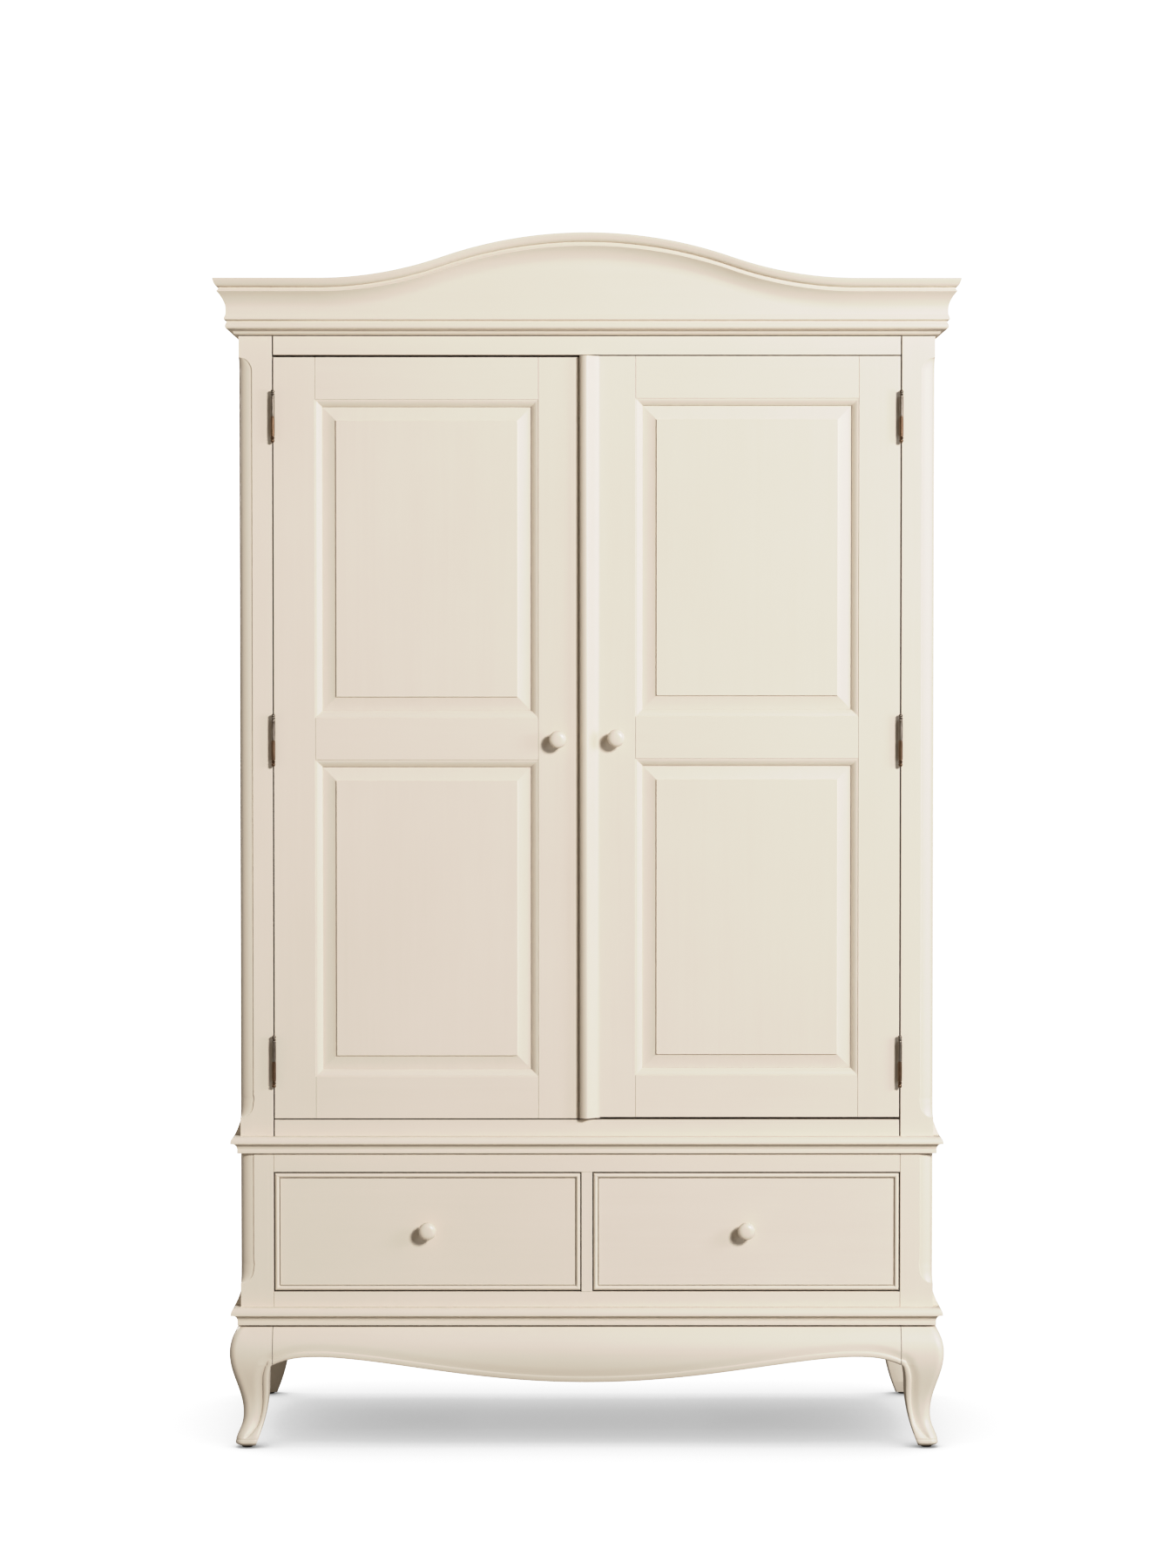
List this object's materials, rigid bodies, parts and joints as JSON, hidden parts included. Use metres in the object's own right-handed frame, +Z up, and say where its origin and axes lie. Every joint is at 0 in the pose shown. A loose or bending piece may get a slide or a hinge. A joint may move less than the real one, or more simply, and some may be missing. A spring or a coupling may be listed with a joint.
{
  "type": "armoire",
  "caption": "Painted wooden armoire with panelled doors over drawers, an arched moulded cornice and cabriole legs.",
  "frame": {"origin": "on the floor, under the centre of the piece's box", "axes": "+X to the right of someone facing the doors, -Y out of the front, +Z up"},
  "size_m": [1.2774, 0.6, 2.0882],
  "materials": {
    "ivory_paint": "warm ivory satin paint over wood",
    "knob_paint": "warm ivory satin paint over turned wood",
    "bare_wood": "bare pale wood, lightly sealed",
    "hinge_metal": "aged brass, browned, worn bright on the turnings",
    "rail_metal": "polished steel tube",
    "glide": "dark moulded nail-on glide"
  },
  "bodies": {
    "case": {"leg_front_left": "ivory_paint", "leg_front_right": "ivory_paint", "leg_rear_left": "ivory_paint", "leg_rear_right": "ivory_paint", "glide_front_left": "glide", "glide_front_right": "glide", "glide_rear_left": "glide", "glide_rear_right": "glide", "apron_front": "ivory_paint", "apron_left": "ivory_paint", "apron_right": "ivory_paint", "apron_rear": "ivory_paint", "base_board": "ivory_paint", "lower_post_left": "ivory_paint", "lower_post_right": "ivory_paint", "lower_side_left": "ivory_paint", "lower_side_right": "ivory_paint", "drawer_rail_top": "ivory_paint", "drawer_rail_bottom": "ivory_paint", "drawer_divider": "ivory_paint", "lower_back": "bare_wood", "waist_board": "ivory_paint", "upper_post_left": "ivory_paint", "upper_post_right": "ivory_paint", "upper_side_left": "ivory_paint", "upper_side_right": "ivory_paint", "door_rail_top": "ivory_paint", "door_rail_bottom": "ivory_paint", "upper_top": "bare_wood", "upper_back": "bare_wood", "cornice": "ivory_paint", "hanging_rail": "rail_metal", "rail_socket_left": "rail_metal", "rail_socket_right": "rail_metal", "left_hinge_bottom_frame_half": "hinge_metal", "left_hinge_middle_frame_half": "hinge_metal", "left_hinge_top_frame_half": "hinge_metal", "right_hinge_bottom_frame_half": "hinge_metal", "right_hinge_middle_frame_half": "hinge_metal", "right_hinge_top_frame_half": "hinge_metal"},
    "left_door": {"left_door_frame": "ivory_paint", "left_door_panel_upper": "ivory_paint", "left_door_panel_lower": "ivory_paint", "left_door_knob": "knob_paint", "left_hinge_bottom_door_half": "hinge_metal", "left_hinge_middle_door_half": "hinge_metal", "left_hinge_top_door_half": "hinge_metal"},
    "right_door": {"right_door_frame": "ivory_paint", "right_door_panel_upper": "ivory_paint", "right_door_panel_lower": "ivory_paint", "right_door_knob": "knob_paint", "right_hinge_bottom_door_half": "hinge_metal", "right_hinge_middle_door_half": "hinge_metal", "right_hinge_top_door_half": "hinge_metal"},
    "left_drawer": {"left_drawer_front": "ivory_paint", "left_drawer_box": "bare_wood", "left_drawer_knob": "knob_paint"},
    "right_drawer": {"right_drawer_front": "ivory_paint", "right_drawer_box": "bare_wood", "right_drawer_knob": "knob_paint"}
  },
  "joints": [
    {"name": "left_door_hinge", "type": "hinge", "parent": "case", "child": "left_door", "pos_m": [-0.5385, -0.2658, 1.222], "axis": [0, 0, -1], "range_deg": [0, 180]},
    {"name": "right_door_hinge", "type": "hinge", "parent": "case", "child": "right_door", "pos_m": [0.5385, -0.2658, 1.222], "axis": [0, 0, 1], "range_deg": [0, 180]},
    {"name": "left_drawer_slide", "type": "slide", "parent": "case", "child": "left_drawer", "axis": [0, -1, 0], "range_m": [0, 0.36]},
    {"name": "right_drawer_slide", "type": "slide", "parent": "case", "child": "right_drawer", "axis": [0, -1, 0], "range_m": [0, 0.36]}
  ]
}
